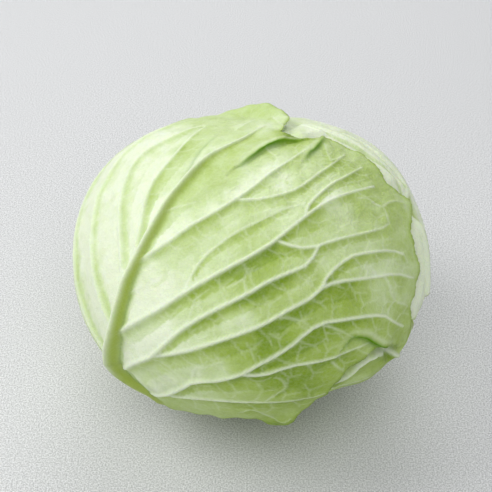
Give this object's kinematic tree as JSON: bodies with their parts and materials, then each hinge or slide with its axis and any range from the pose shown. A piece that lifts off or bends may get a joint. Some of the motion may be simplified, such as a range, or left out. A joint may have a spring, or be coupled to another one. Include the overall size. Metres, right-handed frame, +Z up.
{
  "type": "green cabbage",
  "caption": "Round green cabbage head: a dense heart wrapped in broad overlapping ribbed leaves, standing on its cut stem.",
  "frame": {"origin": "middle of the footprint, at the cut face of the stem that the head stands on", "axes": "+Z up along the stem, which is the head's short way; -Y is the side that the picture sees, +X to its right"},
  "size_m": [0.199, 0.1974, 0.1609],
  "materials": {
    "outer_leaf": "waxy fresh leaf, pale ribs, soft sheen",
    "inner_leaf": "waxy pale inner leaf, soft sheen",
    "cut_stem": "cut fibrous stem, matt"
  },
  "bodies": {
    "root": {"front_leaf": "outer_leaf", "right_leaf": "outer_leaf", "back_leaf": "outer_leaf", "lower_leaf": "inner_leaf", "heart": "inner_leaf", "stem": "cut_stem"}
  },
  "joints": []
}
